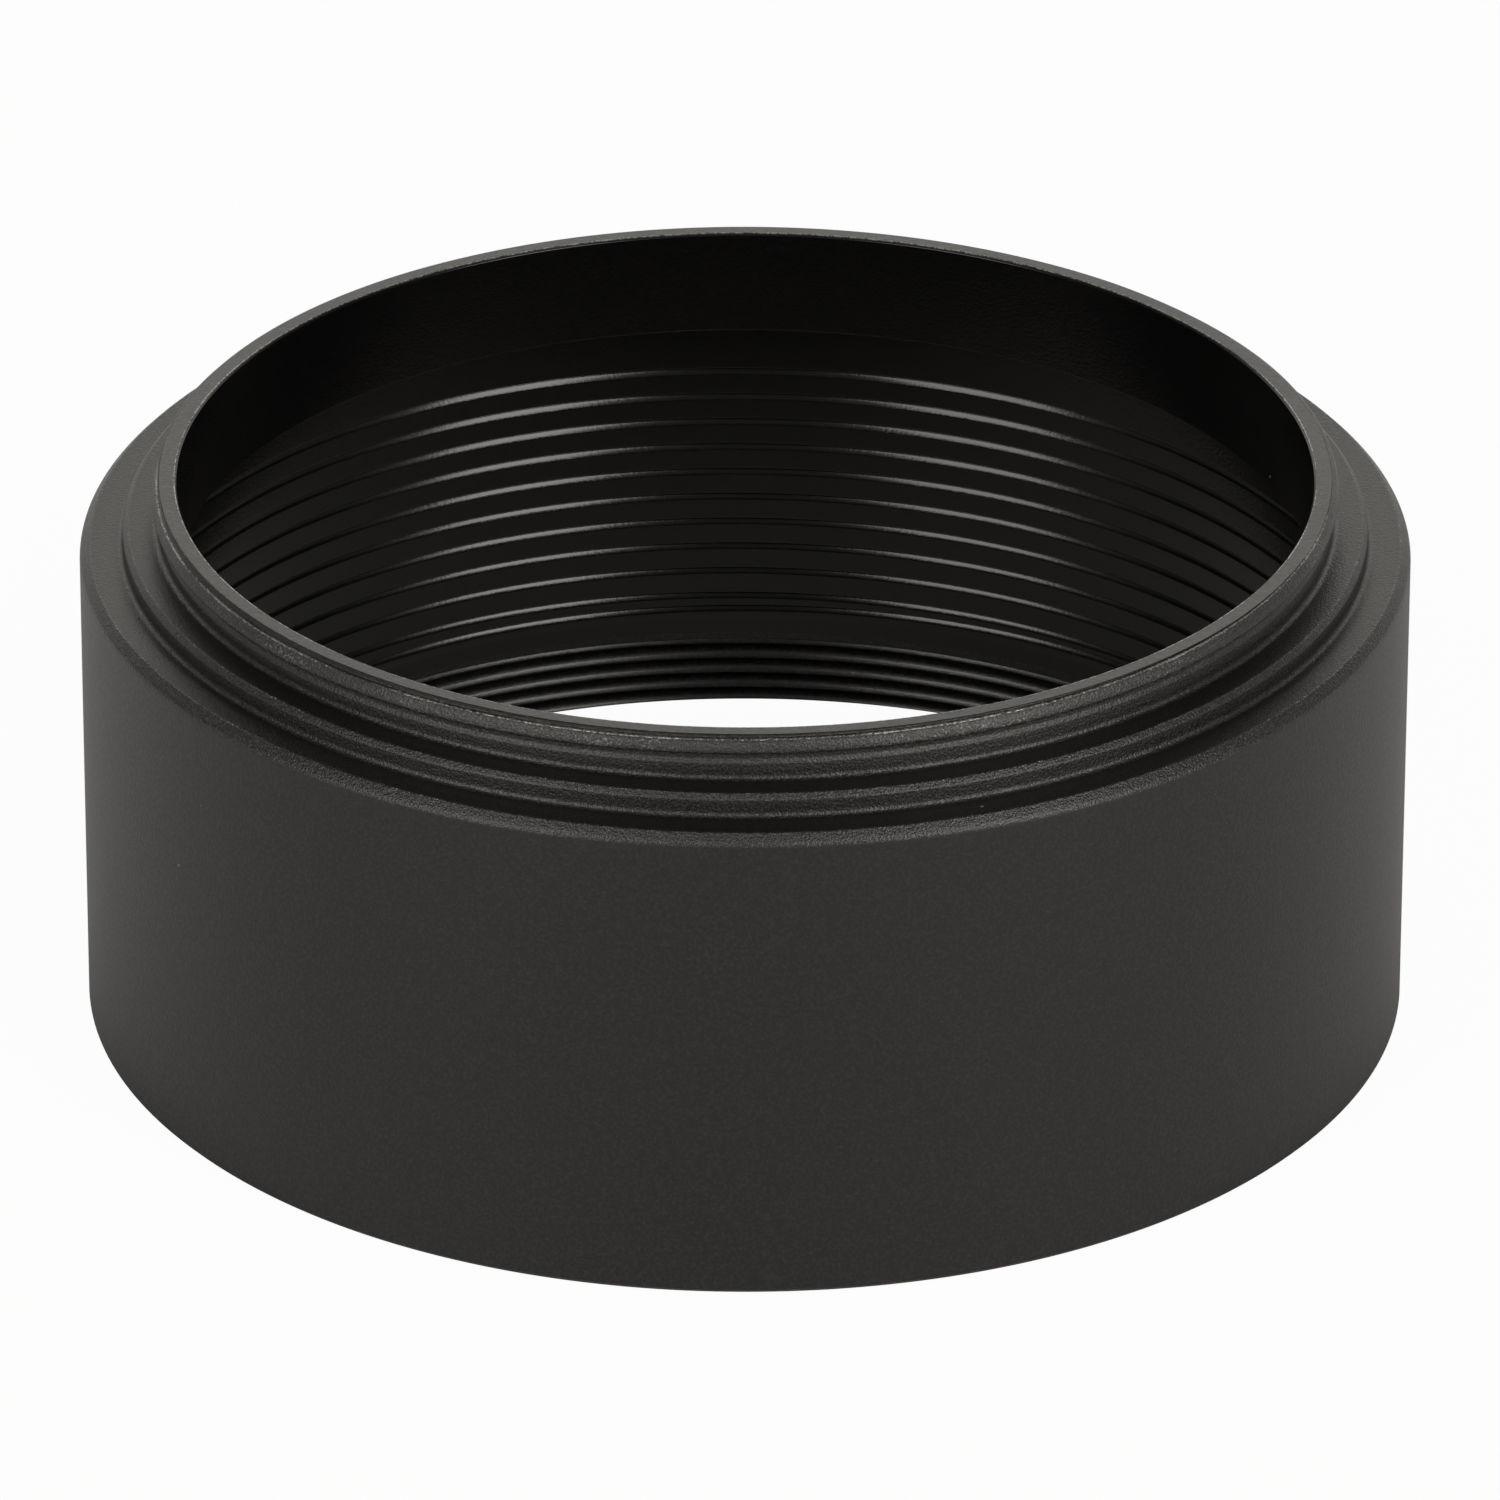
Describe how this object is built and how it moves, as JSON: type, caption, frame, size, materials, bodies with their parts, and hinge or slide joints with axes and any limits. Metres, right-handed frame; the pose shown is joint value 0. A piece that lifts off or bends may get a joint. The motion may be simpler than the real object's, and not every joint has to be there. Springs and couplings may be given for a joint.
{
  "type": "metal lens hood",
  "caption": "Short turned metal lens hood: an open ring with a stepped, threaded collar, a wide threaded mouth and a spiral light-trap groove inside.",
  "frame": {"origin": "centre of the wide end's face, which the hood stands on", "axes": "+Z along the turning axis, from the wide end to the collar; +X is the picture's right and +Y points away from its camera"},
  "size_m": [0.0584, 0.0584, 0.025],
  "materials": {
    "black_anodised": "satin"
  },
  "bodies": {
    "root": {"hood_ring": "black_anodised"}
  },
  "joints": []
}
